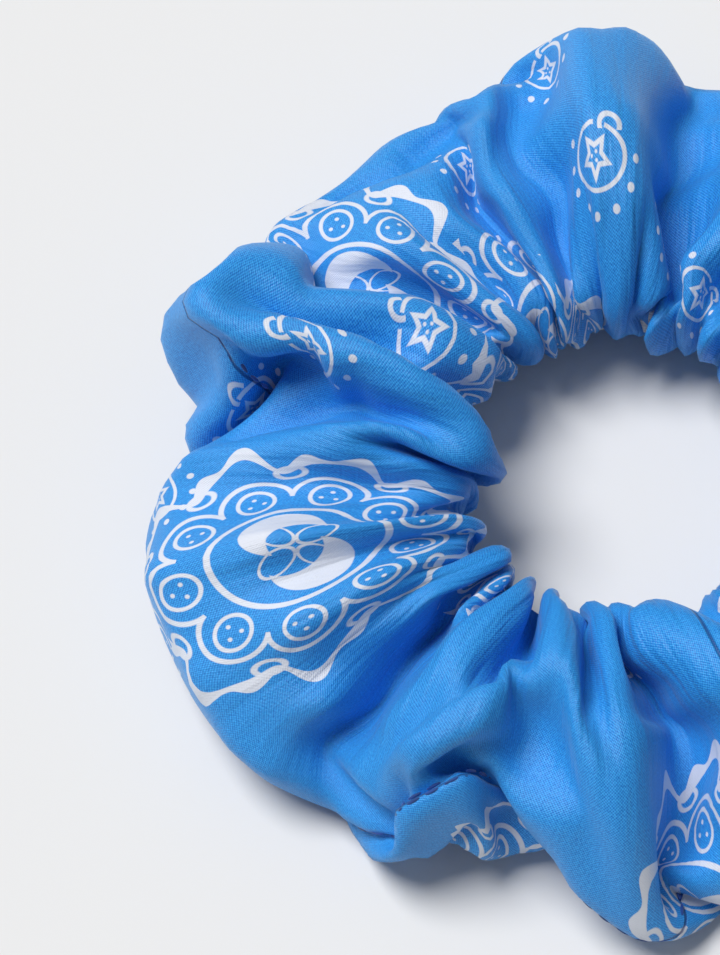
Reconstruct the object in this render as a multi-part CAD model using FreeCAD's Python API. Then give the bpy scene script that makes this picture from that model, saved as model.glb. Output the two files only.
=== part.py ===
"""Gathered satin scrunchie: a hollow cloth ring over a loop of flat elastic. Millimetres, +Z up.

The ring lies flat on Z = 0 with its hair hole on the Z axis, and it pulls open along X.
One strip of satin is folded lengthwise and sewn along its outer edge, so the cover is a tube whose
two turned-in edges lie together inside the seam. The tube's ends meet in a closing seam. Inside the
tube, close to the hair hole, runs one loop of flat elastic with its ends lapped and tacked.

The cloth is gathered about three to one on the elastic. The cover here is the smooth shape of those
gathers, and its wall is as thick as the gathered cloth would be if it were pressed smooth.
The cover, its outer seam and the elastic are split at X = 0, where the ring pulls open.
"""
import FreeCAD, Part
import math
import os

# Cover, measured on the ring as it lies relaxed.
outer_radius = 58.0          # hole's centre to the seamed outer edge
hair_hole_radius = 16.5      # hole that the hair goes through
cover_height = 30.0          # floor to the crown of the gathers
crown_radius = 36.0          # hole's centre to the crown
seam_height = 14.0           # floor to the outer seam
grip_length = 8.0            # straight inner wall that grips the hair
rest_inner_radius = 28.0     # flat ring that the cover rests on
rest_outer_radius = 46.0
wall = 0.5                   # gathered cloth, pressed smooth
cloth = 0.25                 # one layer of satin

# Seams.
seam_allowance = 7.0         # turned-in edge along the outer seam
closing_allowance = 6.0      # turned-in end on each side of the closing seam
closing_angle = -72.0        # degrees from +X
thread_diameter = 0.3
stitch_pitch = 3.0
stitch_gap = 0.6             # part of each pitch where the thread dives through the cloth
stitch_inset = 3.0           # outer edge to the line of stitches

# Elastic.
elastic_width = 6.0
elastic_thickness = 1.1
elastic_lap = 12.0           # overlap of the two ends
elastic_angle = -48.0        # degrees from +X, middle of the lap
gather_depth = 3.0           # gathers bunched between the cover's inner wall and the elastic
tack_rows = 2
tack_columns = 5

# Motion.
split_gap = 0.3              # clear space between the two halves at rest
touch = 0.02                 # clearance where one piece lies on another

UP = FreeCAD.Vector(0, 0, 1)
ORIGIN = FreeCAD.Vector(0, 0, 0)
LEFT_START = 90.0
RIGHT_START = -90.0
HALF_TURN = 180.0
thread_radius = thread_diameter / 2
grip_middle = seam_height
grip_low = grip_middle - grip_length / 2
grip_high = grip_middle + grip_length / 2
flange_outer_radius = outer_radius - wall / 2
flange_inner_radius = outer_radius - stitch_inset - seam_allowance
stitch_radius = outer_radius - stitch_inset - wall
lining_depth = wall + cloth + touch + thread_diameter
elastic_radius = hair_hole_radius + lining_depth + gather_depth


def point(radius, height):
    """Point of the section, drawn in the XZ plane."""
    return FreeCAD.Vector(radius, 0, height)


def straight(start, end):
    return Part.LineSegment(start, end).toShape()


def quarter(start, corner, end):
    """Quarter of an ellipse that leaves start towards corner and reaches end from corner."""
    curve = Part.BezierCurve()
    curve.setPoles([start, corner, end])
    curve.setWeight(2, math.sqrt(0.5))
    return curve.toShape()


def section_wire(depth=0.0):
    """Outline of the cover's section, or the outline of what lies deeper in it by depth."""
    hole = hair_hole_radius + depth
    edge = outer_radius - depth
    top = cover_height - depth
    bottom = depth
    grip_bottom = point(hole, grip_low)
    grip_top = point(hole, grip_high)
    crown = point(crown_radius, top)
    seam = point(edge, seam_height)
    rest_out = point(rest_outer_radius, bottom)
    rest_in = point(rest_inner_radius, bottom)
    return Part.Wire([
        straight(grip_bottom, grip_top),
        quarter(grip_top, point(hole, top), crown),
        quarter(crown, point(edge, top), seam),
        quarter(seam, point(edge, bottom), rest_out),
        straight(rest_out, rest_in),
        quarter(rest_in, point(hole, bottom), grip_bottom),
    ])


def rectangle(r_low, r_high, z_low, z_high):
    corners = [point(r_low, z_low), point(r_high, z_low), point(r_high, z_high), point(r_low, z_high)]
    return Part.Face(Part.makePolygon(corners + corners[:1]))


def cover_section(thickness):
    """Cloth of the tube and its two turned-in edges at the outer seam, as one face."""
    ring = Part.Face(section_wire()).cut(Part.Face(section_wire(thickness)))
    flange = rectangle(flange_inner_radius, flange_outer_radius, seam_height - cloth, seam_height + cloth)
    return ring.fuse(flange).removeSplitter().Faces[0]


def turned(face, start, sweep):
    """Solid that the face makes when it turns about the ring's axis, angles in degrees."""
    placed = face.copy()
    placed.rotate(ORIGIN, UP, start)
    return placed.revolve(ORIGIN, UP, sweep)


def split_slot():
    """Thin slab that keeps the two halves apart."""
    reach = 2 * outer_radius
    corner = FreeCAD.Vector(-split_gap / 2, -reach, -reach)
    return Part.makeBox(split_gap, 2 * reach, 2 * reach, corner)


def half_ring(start, face, thick_face=None, middle=0.0, sweep=0.0):
    """Half of a ring of one section, or with a thicker section over a sweep about middle."""
    if thick_face is None:
        return turned(face, start, HALF_TURN).cut(split_slot())
    first = middle - sweep / 2
    last = middle + sweep / 2
    parts = [turned(face, start, first - start), turned(thick_face, first, sweep),
             turned(face, last, start + HALF_TURN - last)]
    return parts[0].fuse(parts[1:]).removeSplitter().cut(split_slot())


def cover_left():
    return half_ring(LEFT_START, cover_section(wall))


def cover_right():
    """Half with the closing seam, where the tube's two ends are turned in and pressed open."""
    middle_radius = (hair_hole_radius + outer_radius) / 2
    sweep = math.degrees(2 * closing_allowance / middle_radius)
    return half_ring(RIGHT_START, cover_section(wall), cover_section(wall + cloth), closing_angle, sweep)


def elastic_section(layers):
    z_low = grip_middle - elastic_width / 2
    z_high = grip_middle + elastic_width / 2
    return rectangle(elastic_radius, elastic_radius + layers * elastic_thickness, z_low, z_high)


def elastic_left():
    return half_ring(LEFT_START, elastic_section(1))


def elastic_right():
    """Half of the loop where the strip's two ends lie one on the other."""
    sweep = math.degrees(elastic_lap / (elastic_radius + elastic_thickness))
    return half_ring(RIGHT_START, elastic_section(1), elastic_section(2), elastic_angle, sweep)


def rod(start, end):
    """One visible stitch: a straight bit of thread."""
    along = end - start
    return Part.makeCylinder(thread_radius, along.Length, start, along)


def around(radius, height, degrees):
    a = math.radians(degrees)
    return FreeCAD.Vector(radius * math.cos(a), radius * math.sin(a), height)


def outer_stitches(start, height):
    """Row of stitches along one half of the outer seam, at one face of the turned-in edges."""
    pitch = math.degrees(stitch_pitch / stitch_radius)
    dive = math.degrees(stitch_gap / stitch_radius)
    clear_end = math.degrees(split_gap / stitch_radius)
    count = int((HALF_TURN - 2 * clear_end) / pitch)
    spare = (HALF_TURN - count * pitch) / 2
    stitches = []
    for i in range(count):
        first = start + spare + i * pitch + dive / 2
        last = first + pitch - dive
        stitches.append(rod(around(stitch_radius, height, first), around(stitch_radius, height, last)))
    return Part.makeCompound(stitches)


def closing_stitches(side):
    """Stitches round the tube beside the closing seam; side is -1 or +1."""
    route = section_wire(wall + cloth + touch + thread_radius)
    count = int(route.Length / stitch_pitch)
    marks = route.discretize(count * 5 + 1)
    clear_of_flange = cloth + thread_diameter + stitch_pitch / 2
    stitches = []
    for i in range(count):
        first = marks[i * 5]
        last = marks[i * 5 + 4]
        middle = (first + last) / 2
        if middle.x > flange_inner_radius - stitch_pitch and abs(middle.z - seam_height) < clear_of_flange:
            continue
        stitch = rod(first, last)
        stitch.translate(FreeCAD.Vector(0, side * thread_diameter, 0))
        stitch.rotate(ORIGIN, UP, closing_angle)
        stitches.append(stitch)
    return Part.makeCompound(stitches)


def elastic_tack():
    """Rows of stitches on both faces of the elastic's lap."""
    outer_face = elastic_radius + 2 * elastic_thickness
    lap_sweep = math.degrees(elastic_lap / (elastic_radius + elastic_thickness))
    step = lap_sweep * 0.8 / tack_columns
    row_gap = elastic_width / (tack_rows + 1)
    stitches = []
    for radius in (elastic_radius - thread_diameter, outer_face + thread_diameter):
        for row in range(tack_rows):
            height = grip_middle + (row - (tack_rows - 1) / 2) * row_gap
            for column in range(tack_columns):
                first = elastic_angle - lap_sweep * 0.4 + column * step + step * 0.1
                last = first + step * 0.8
                stitches.append(rod(around(radius, height, first), around(radius, height, last)))
    return Part.makeCompound(stitches)


def build():
    """Every sub-part of the scrunchie, by node name."""
    needle_height = seam_height + cloth + thread_radius + touch
    bobbin_height = seam_height - cloth - thread_radius - touch
    return {
        "cover_left": cover_left(),
        "cover_right": cover_right(),
        "outer_seam_needle_thread_left": outer_stitches(LEFT_START, needle_height),
        "outer_seam_needle_thread_right": outer_stitches(RIGHT_START, needle_height),
        "outer_seam_bobbin_thread_left": outer_stitches(LEFT_START, bobbin_height),
        "outer_seam_bobbin_thread_right": outer_stitches(RIGHT_START, bobbin_height),
        "closing_seam_needle_thread": closing_stitches(-1),
        "closing_seam_bobbin_thread": closing_stitches(1),
        "elastic_left": elastic_left(),
        "elastic_right": elastic_right(),
        "elastic_tack_thread": elastic_tack(),
    }


os.makedirs("parts", exist_ok=True)
for node, shape in build().items():
    shape.exportStep("parts/" + node + ".step")
    print(node, "solids", len(shape.Solids), "valid", shape.isValid(), "volume", round(shape.Volume, 2))
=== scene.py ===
"""Gathered satin scrunchie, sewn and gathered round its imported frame.

A printed satin strip is sewn to a tube, gathered by simulation on a loop of elastic, and dressed
with its two seams and their threads. Lengths are millimetres in the pattern and metres in Blender.
"""

import logging
import math
from dataclasses import dataclass, field
from enum import Enum
from typing import Any, Iterable, Optional, Sequence

import bpy
import numpy as np
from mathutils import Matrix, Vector

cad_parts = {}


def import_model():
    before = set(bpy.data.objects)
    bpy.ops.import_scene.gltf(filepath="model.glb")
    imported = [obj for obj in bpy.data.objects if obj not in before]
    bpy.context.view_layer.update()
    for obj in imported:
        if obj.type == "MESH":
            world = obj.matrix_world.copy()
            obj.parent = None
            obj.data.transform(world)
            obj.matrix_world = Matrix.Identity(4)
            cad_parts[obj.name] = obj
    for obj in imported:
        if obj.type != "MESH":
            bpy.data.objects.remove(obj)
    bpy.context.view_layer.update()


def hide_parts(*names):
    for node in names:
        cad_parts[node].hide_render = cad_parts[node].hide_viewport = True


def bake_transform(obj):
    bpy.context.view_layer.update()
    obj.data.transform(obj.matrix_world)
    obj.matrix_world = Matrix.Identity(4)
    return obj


LOG = logging.getLogger("scrunchie")
MM = 0.001
SEAM_COLUMN = 0                 # column of the cloth grid that the outer seam runs along
ELASTIC_RADIUS = 22.3           # axis to the middle of the elastic's thickness, in millimetres
FAR_OFF = 999.0                 # place of cloth with no printed figure near it, in millimetres


class Half(Enum):
    """The two bodies that the ring pulls apart into."""

    LEFT = "left_half"
    RIGHT = "right_half"


class Slot(Enum):
    """Material slots of the record."""

    SATIN = "satin"
    SEAM_THREAD = "seam_thread"
    ELASTIC = "elastic"
    TACK_THREAD = "tack_thread"


# ---------------------------------------------------------------------------------------------
# Shared helpers
# ---------------------------------------------------------------------------------------------

def linear(hex_colour: str) -> tuple[float, float, float, float]:
    """Turn an sRGB hex colour into linear RGBA.

    Args:
        hex_colour: Six hex digits.

    Returns:
        Linear red, green, blue and an alpha of 1.
    """
    values = [int(hex_colour[i:i + 2], 16) / 255 for i in (0, 2, 4)]
    bent = [v / 12.92 if v <= 0.04045 else ((v + 0.055) / 1.055) ** 2.4 for v in values]
    return (bent[0], bent[1], bent[2], 1.0)


def add_node(tree: bpy.types.NodeTree, kind: str, inputs: Optional[dict] = None, out: Any = 0,
             **settings: Any) -> bpy.types.NodeSocket:
    """Add a node with its settings, values and links.

    Args:
        tree: Node tree that takes the node.
        kind: Type of the node without its ShaderNode prefix.
        inputs: Input index or name to a value or to a socket that is linked to it.
        out: Index or name of the output to return.
        **settings: Properties of the node.

    Returns:
        The output socket.
    """
    made = tree.nodes.new("ShaderNode" + kind)
    for name, value in settings.items():
        setattr(made, name, value)
    for key, value in (inputs or {}).items():
        if isinstance(value, bpy.types.NodeSocket):
            tree.links.new(value, made.inputs[key])
        else:
            made.inputs[key].default_value = value
    return made.outputs[out]


def new_piece(name: str, points: np.ndarray, faces: Sequence[Sequence[int]]) -> bpy.types.Object:
    """Make a mesh piece at the origin, with its place in its mesh.

    Args:
        name: Name of the piece.
        points: Points in metres, one row each.
        faces: Point indices of each face.

    Returns:
        The new object, smooth shaded.
    """
    mesh = bpy.data.meshes.new(name)
    mesh.from_pydata(points.reshape(-1, 3).tolist(), [], [tuple(f) for f in faces])
    mesh.polygons.foreach_set("use_smooth", [True] * len(mesh.polygons))
    piece = bpy.data.objects.new(name, mesh)
    bpy.context.scene.collection.objects.link(piece)
    return piece


def tube_faces(along: int, round_it: int) -> list[tuple[int, int, int, int]]:
    """List the faces of a grid that closes both along and round itself.

    Args:
        along: Points along the ring.
        round_it: Points round the tube.

    Returns:
        Four point indices for each face, facing out.
    """
    faces = []
    for i in range(along):
        k = (i + 1) % along
        for j in range(round_it):
            m = (j + 1) % round_it
            faces.append((i * round_it + j, k * round_it + j, k * round_it + m, i * round_it + m))
    return faces


def curved(line: np.ndarray, parts: int = 4) -> np.ndarray:
    """Curve a closed line through its own points.

    Args:
        line: Points of the line.
        parts: Points made from each one.

    Returns:
        The finer line.
    """
    before, after, beyond = np.roll(line, 1, 0), np.roll(line, -1, 0), np.roll(line, -2, 0)
    slope = after - before
    bend = 2 * before - 5 * line + 4 * after - beyond
    change = 3 * line - before - 3 * after + beyond
    fine = [0.5 * (2 * line + slope * t + bend * t ** 2 + change * t ** 3)
            for t in np.arange(parts) / parts]
    return np.stack(fine, axis=1).reshape(-1, line.shape[1])


def apply_modifiers(piece: bpy.types.Object) -> None:
    """Apply every modifier of a piece, in order.

    Args:
        piece: Piece that takes the shape of its modifiers.
    """
    bpy.ops.object.select_all(action="DESELECT")
    piece.select_set(True)
    bpy.context.view_layer.objects.active = piece
    for modifier in list(piece.modifiers):
        bpy.ops.object.modifier_apply(modifier=modifier.name)


# ---------------------------------------------------------------------------------------------
# Pattern of the cover
# ---------------------------------------------------------------------------------------------

def at_bearing(degrees: float, radius: float, height: float) -> tuple[float, float, float]:
    """Turn a bearing, a distance from the axis and a height into XYZ.

    Args:
        degrees: Bearing in degrees from +X.
        radius: Distance from the axis.
        height: Height over the floor.

    Returns:
        X, Y and Z.
    """
    a = math.radians(degrees)
    return (radius * math.cos(a), radius * math.sin(a), height)


INNER_EDGE_HEIGHT = 15.5        # every fold starts at least this high, so over the elastic


@dataclass(frozen=True)
class Fold:
    """One ridge or valley of the top panel, from the hair hole to the outer seam.

    Attributes:
        name: Maker's name of the fold.
        stations: Angle in degrees, radius and height in millimetres, from the hole outwards; the
            last one is on the seam.
        under: Places on the underside: distance from the seam in millimetres, then as above.
    """

    name: str
    stations: tuple[tuple[float, float, float], ...]
    under: tuple[tuple[float, float, float, float], ...] = ()

    def points(self) -> np.ndarray:
        """Give the stations as XYZ points in millimetres, one row each.

        Returns:
            Points, the first one led over the elastic.
        """
        degrees, radius, height = self.stations[0]
        inner_edge = (degrees, min(radius, ELASTIC_RADIUS), max(height, INNER_EDGE_HEIGHT))
        return np.array([at_bearing(*station) for station in (inner_edge, *self.stations[1:])],
                        dtype=float)


# Ridges and valleys in order round the ring, starting behind the tall lobe at the far side.
FOLDS = (
    Fold("far_valley", ((76, 26, 6), (78, 41, 7), (78, 55, 6), (80, 53, 5))),
    Fold("tall_lobe_right", ((82, 19, 15), (86, 29, 28), (86, 42, 31), (87, 59, 22), (88, 59, 9))),
    Fold("tall_lobe_left", ((94, 20, 15), (96, 29, 28), (96, 42, 32), (94, 59, 22), (97, 59, 9))),
    Fold("tall_lobe_foot", ((101, 23, 9), (104, 37, 18), (103, 51, 14), (103, 52, 7))),
    Fold("narrow_lobe",
         ((109, 21, 16), (114, 34, 25), (112, 44, 26), (109, 51, 20), (109, 51, 12))),
    Fold("narrow_lobe_foot", ((110, 23, 7), (114, 41, 10), (111, 53, 10), (114, 50, 6))),
    Fold("back_shoulder", ((120, 20, 14), (124, 36, 22), (120, 48, 15), (121, 52, 7))),
    Fold("back_dip", ((121, 22, 10), (130, 39, 19), (129, 50, 13), (130, 52, 6))),
    Fold("back_panel", ((128, 21, 14), (138, 38, 22), (144, 52, 17), (141, 55, 7))),
    Fold("back_tuck", ((128, 22, 9), (134, 36, 15), (145, 48, 12), (153, 53, 8))),
    Fold("left_lobe_band", ((142, 19, 17), (150, 31, 27), (156, 42, 27), (158, 51, 23))),
    Fold("left_lobe_crease", ((148, 17, 15), (152, 30, 23), (159, 43, 28), (162, 50, 27)),
         ((20, 158, 56, 9),)),
    Fold("left_lobe_crown", ((164, 16, 18), (165, 27, 28), (165, 41, 31), (166, 48, 27)),
         ((20, 165, 58, 8),)),
    Fold("left_lobe_side", ((174, 15, 18), (177, 25, 29), (169, 33, 27), (169, 44, 21)),
         ((17, 171, 56, 8),)),
    Fold("left_pocket", ((182, 15, 18), (184, 23, 27), (171, 32, 19), (166, 37, 11))),
    Fold("near_roll", ((191, 15, 18), (189, 25, 25), (184, 38, 25), (181, 54, 18), (178, 54, 8))),
    Fold("near_roll_foot",
         ((194, 16, 11), (192, 27, 17), (186, 40, 18), (183, 56, 13), (183, 56, 6))),
    Fold("medallion_crown",
         ((208, 16, 15), (204, 29, 25), (200, 46, 30), (194, 61, 18), (190, 58, 5))),
    Fold("medallion_crease",
         ((208, 16, 12), (204, 28, 19), (204, 45, 21), (200, 59, 15), (198, 58, 4))),
    Fold("near_crown", ((219, 18, 16), (215, 31, 26), (214, 48, 28), (208, 61, 16), (205, 58, 4))),
    Fold("near_crease", ((220, 16, 12), (215, 31, 20), (218, 47, 16), (217, 60, 11), (214, 57, 4))),
    Fold("near_shoulder",
         ((230, 18, 17), (223, 31, 25), (225, 48, 20), (225, 58, 10), (224, 56, 4))),
    Fold("deep_valley", ((218, 18, 7), (221, 27, 7), (226, 39, 5), (233, 51, 2))),
    Fold("mouth_left", ((231, 21, 16), (234, 34, 24), (232, 47, 21), (234, 51, 12), (244, 52, 5))),
    Fold("mouth_corner", ((236, 21, 17), (239, 37, 27), (236, 48, 26), (236, 54, 18)),
         ((15, 243, 54, 4),)),
    Fold("mouth_lip", ((241, 20, 15), (245, 36, 28), (246, 43, 27), (246, 45, 25)),
         ((13, 248, 46, 13), (26, 248, 52, 3))),
    Fold("mouth_right", ((247, 19, 15), (251, 36, 26), (251, 41, 17), (250, 41, 9)),
         ((11, 252, 47, 4),)),
    Fold("front_lobe_left", ((253, 19, 17), (259, 37, 28), (262, 47, 20), (263, 50, 9))),
    Fold("front_lobe_crown", ((259, 19, 16), (266, 36, 28), (270, 50, 20), (268, 56, 6))),
    Fold("front_lobe_right", ((264, 19, 14), (271, 39, 27), (273, 48, 18), (271, 58, 4))),
    Fold("front_valley", ((270, 17, 7), (279, 30, 5), (277, 46, 4), (276, 51, 3))),
    Fold("front_right_curl", ((275, 18, 17), (284, 34, 23), (283, 45, 17), (285, 57, 8))),
    Fold("front_right_lobe", ((299, 23, 16), (296, 38, 28), (294, 51, 24), (293, 57, 13))),
    Fold("right_valley_1", ((309, 22, 10), (305, 38, 12), (303, 50, 9), (302, 52, 6))),
    Fold("right_lobe_1a", ((318, 23, 17), (314, 38, 29), (312, 51, 26), (311, 58, 14))),
    Fold("right_lobe_1b", ((328, 23, 16), (325, 38, 28), (322, 51, 24), (321, 59, 12))),
    Fold("right_valley_2", ((337, 22, 10), (334, 38, 13), (331, 50, 10), (330, 53, 7))),
    Fold("right_lobe_2", ((346, 23, 17), (343, 38, 27), (340, 50, 27), (339, 56, 22))),
    Fold("right_valley_3", ((356, 22, 11), (353, 38, 17), (351, 49, 14), (349, 52, 9))),
    Fold("right_lobe_3a", ((366, 23, 16), (363, 38, 28), (361, 51, 22), (360, 58, 10))),
    Fold("right_lobe_3b", ((375, 23, 17), (373, 38, 29), (371, 52, 24), (371, 60, 11))),
    Fold("right_valley_4", ((384, 22, 10), (382, 38, 12), (381, 50, 9), (380, 52, 5))),
    Fold("right_lobe_4a", ((394, 23, 16), (391, 38, 27), (390, 51, 25), (389, 57, 15))),
    Fold("right_lobe_4b", ((404, 23, 17), (402, 38, 29), (400, 51, 24), (400, 58, 11))),
    Fold("right_valley_5", ((413, 22, 11), (411, 38, 14), (409, 50, 11), (408, 53, 7))),
    Fold("right_lobe_5", ((423, 23, 16), (421, 38, 27), (420, 51, 22), (420, 57, 12))),
    Fold("right_valley_6", ((432, 22, 11), (430, 38, 16), (430, 49, 13), (430, 53, 8))),
)


@dataclass(frozen=True)
class Band:
    """Closed loop of flat elastic that stands on edge. Millimetres.

    Attributes:
        radius: Distance from the axis to the middle of its thickness.
        middle: Height of its middle over the floor.
        width: Height of the band.
        thickness: Radial thickness.
    """

    radius: float = ELASTIC_RADIUS
    middle: float = 10.5
    width: float = 6.0
    thickness: float = 1.1

    def ring(self, radius: float, middle: float, steps: int) -> np.ndarray:
        """Give the band's four long edges.

        Args:
            radius: Distance from the axis to the middle of its thickness, in millimetres.
            middle: Height of its middle, in millimetres.
            steps: Points along each edge.

        Returns:
            Points in millimetres, rows along the band by its four edges.
        """
        angles = np.linspace(0, 2 * np.pi, steps, endpoint=False)
        half_t, half_w = self.thickness / 2, self.width / 2
        edges = []
        for out, up in ((-half_t, -half_w), (half_t, -half_w), (half_t, half_w), (-half_t, half_w)):
            r = radius + out
            heights = np.full(steps, middle + up)
            edges.append(np.column_stack([r * np.cos(angles), r * np.sin(angles), heights]))
        return np.stack(edges, axis=1)


@dataclass
class Strip:
    """Flat satin strip that the cover is cut from, and the grid that stands for it.

    Attributes:
        width: Cut width that ends up round the tube, in millimetres.
        ease: Share of the widest gap between two folds that is cut as cloth.
        least_gap: Least cloth between two folds, in millimetres.
        along: Grid points along the ring.
        round_it: Grid points round the tube.
        hem_depth: Cloth between the tube's inner middle line and a fold's first station, in
            millimetres.
        arch: Length of cloth along a fold over the straight lines between its stations.
        gap_from: Share round the tube from which the gaps between folds are measured.
        gap_samples: Places at which each gap is measured.
        gap_quantile: Which of the measured gaps counts as the widest.
        length: Cut length of the strip, in millimetres.
        fold_share: Place of each fold along the strip, from 0 to 1.
        fold_rows: Place of each fold's stations round the tube, from 0 to 1.
    """

    width: float = 104.0
    ease: float = 0.85
    least_gap: float = 3.0
    along: int = 170
    round_it: int = 36
    hem_depth: float = 6.0
    arch: float = 1.06
    gap_from: float = 0.66
    gap_samples: int = 8
    gap_quantile: float = 0.8
    length: float = field(init=False, default=0.0)
    fold_share: Optional[np.ndarray] = field(init=False, default=None)
    fold_rows: list[np.ndarray] = field(init=False, default_factory=list)

    def __post_init__(self) -> None:
        """Measure how much cloth lies between the folds and along each of them."""
        half = self.width / 2
        samples = np.linspace(self.gap_from, 1.0, self.gap_samples)
        lines = []
        for fold in FOLDS:
            points = fold.points()
            steps = np.linalg.norm(np.diff(points, axis=0), axis=1) * self.arch
            reach = self.hem_depth + np.concatenate([[0.0], np.cumsum(steps)])
            if reach[-1] > half:
                reach *= half / reach[-1]
            share = 0.5 + 0.5 * reach / half
            share[-1] = 1.0
            self.fold_rows.append(share)
            lines.append([[np.interp(s, share, points[:, k]) for k in range(3)] for s in samples])
        across = np.array(lines)
        gaps = np.linalg.norm(np.roll(across, -1, 0) - across, axis=2)
        cut = np.maximum(self.ease * np.quantile(gaps, self.gap_quantile, axis=1), self.least_gap)
        self.length = float(cut.sum())
        self.fold_share = np.concatenate([[0.0], np.cumsum(cut)[:-1]]) / self.length

    def share_of(self, name: str) -> float:
        """Give a fold's place along the strip, from 0 to 1.

        Args:
            name: Maker's name of the fold.

        Returns:
            Its place.
        """
        names = [fold.name for fold in FOLDS]
        return float(self.fold_share[names.index(name)])


@dataclass(frozen=True)
class GatherPins:
    """Where the inside of the gathers is held round the elastic. Millimetres.

    Attributes:
        ease: How much farther out a gather is held than its fold starts.
        inside: Least distance from the middle of the elastic inwards.
        rows_apart: Rows of the grid from one held gather to the next.
        stagger: How much farther in every other gather is held.
        columns: Columns of the grid from the inner line to the held points above and below it.
        below: Distances outwards and downwards of the point under the elastic.
        above: Distances inwards and upwards of the point over the elastic.
        above_hold: How firmly the point over the elastic is held.
    """

    ease: float = 1.5
    inside: float = 2.6
    rows_apart: float = 2.0
    stagger: float = 1.0
    columns: int = 2
    below: tuple[float, float] = (1.0, 1.5)
    above: tuple[float, float] = (1.0, 2.5)
    above_hold: float = 0.7


@dataclass(frozen=True)
class Contact:
    """How the cloth touches a surface: the gap that it keeps, in working metres, and the grip."""

    gap: float
    friction: float


@dataclass(frozen=True)
class GatheringRun:
    """Settings of the cloth simulation that gathers the strip, at ten times real size.

    Attributes:
        frames: Length of the run.
        pull_share: Share of the run in which the folds are pulled to their places.
        scale: Working size over real size, which suits the solver's contact distances.
        start_size: Start radius of the tube and the elastic over that of the cut strip.
        start_height: Height at which the elastic starts, in millimetres.
        swell: Half thickness of the flattened tube at the start, in millimetres.
        spread_share: Share of the ring over which the start angles are smoothed.
        elastic_steps: Points along the closing elastic.
        fold_hold: How firmly a fold's stations are held, from 0 to 1.
        first_hold: How firmly its first station is held, as a share of that.
        seam_hold: How firmly its last station, on the outer seam, is held.
        hole_hold: How firmly the gathers are held round the elastic.
        under_hold: How firmly the places on the underside are held.
        hold_stiffness: Strength of all that holding.
        stretch: Resistance of the cloth to stretch and squeeze.
        shear: Resistance to shear.
        bend: Resistance to bending.
        pressure: Push of the air in the tube, which here is a light suction.
        weight: Share of gravity that acts.
        quality: Solver steps per frame.
        mass: Mass of each point.
        damping: Damping of stretch, squeeze and shear.
        bend_damping: Damping of bending.
        air_damping: Drag of the air.
        floor: Contact with the floor.
        elastic: Contact with the closing elastic.
        itself: Contact of the cloth with itself.
        reach: Gap that the cloth keeps from any surface, in working metres.
        contact_quality: Contact steps per solver step.
        pins: Where the gathers are held round the elastic.
    """

    frames: int = 50
    pull_share: float = 0.7
    scale: float = 10.0
    start_size: float = 0.98
    start_height: float = 5.5
    swell: float = 3.0
    spread_share: float = 0.06
    elastic_steps: int = 72
    fold_hold: float = 0.9
    first_hold: float = 0.9
    seam_hold: float = 0.9
    hole_hold: float = 0.85
    under_hold: float = 0.85
    hold_stiffness: float = 20.0
    stretch: float = 15.0
    shear: float = 5.0
    bend: float = 40.0
    pressure: float = -2.0
    weight: float = 0.3
    quality: int = 5
    mass: float = 0.15
    damping: float = 5.0
    bend_damping: float = 0.5
    air_damping: float = 3.0
    floor: Contact = Contact(gap=0.003, friction=20)
    elastic: Contact = Contact(gap=0.007, friction=1)
    itself: Contact = Contact(gap=0.006, friction=3)
    reach: float = 0.003
    contact_quality: int = 3
    pins: GatherPins = GatherPins()


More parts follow.
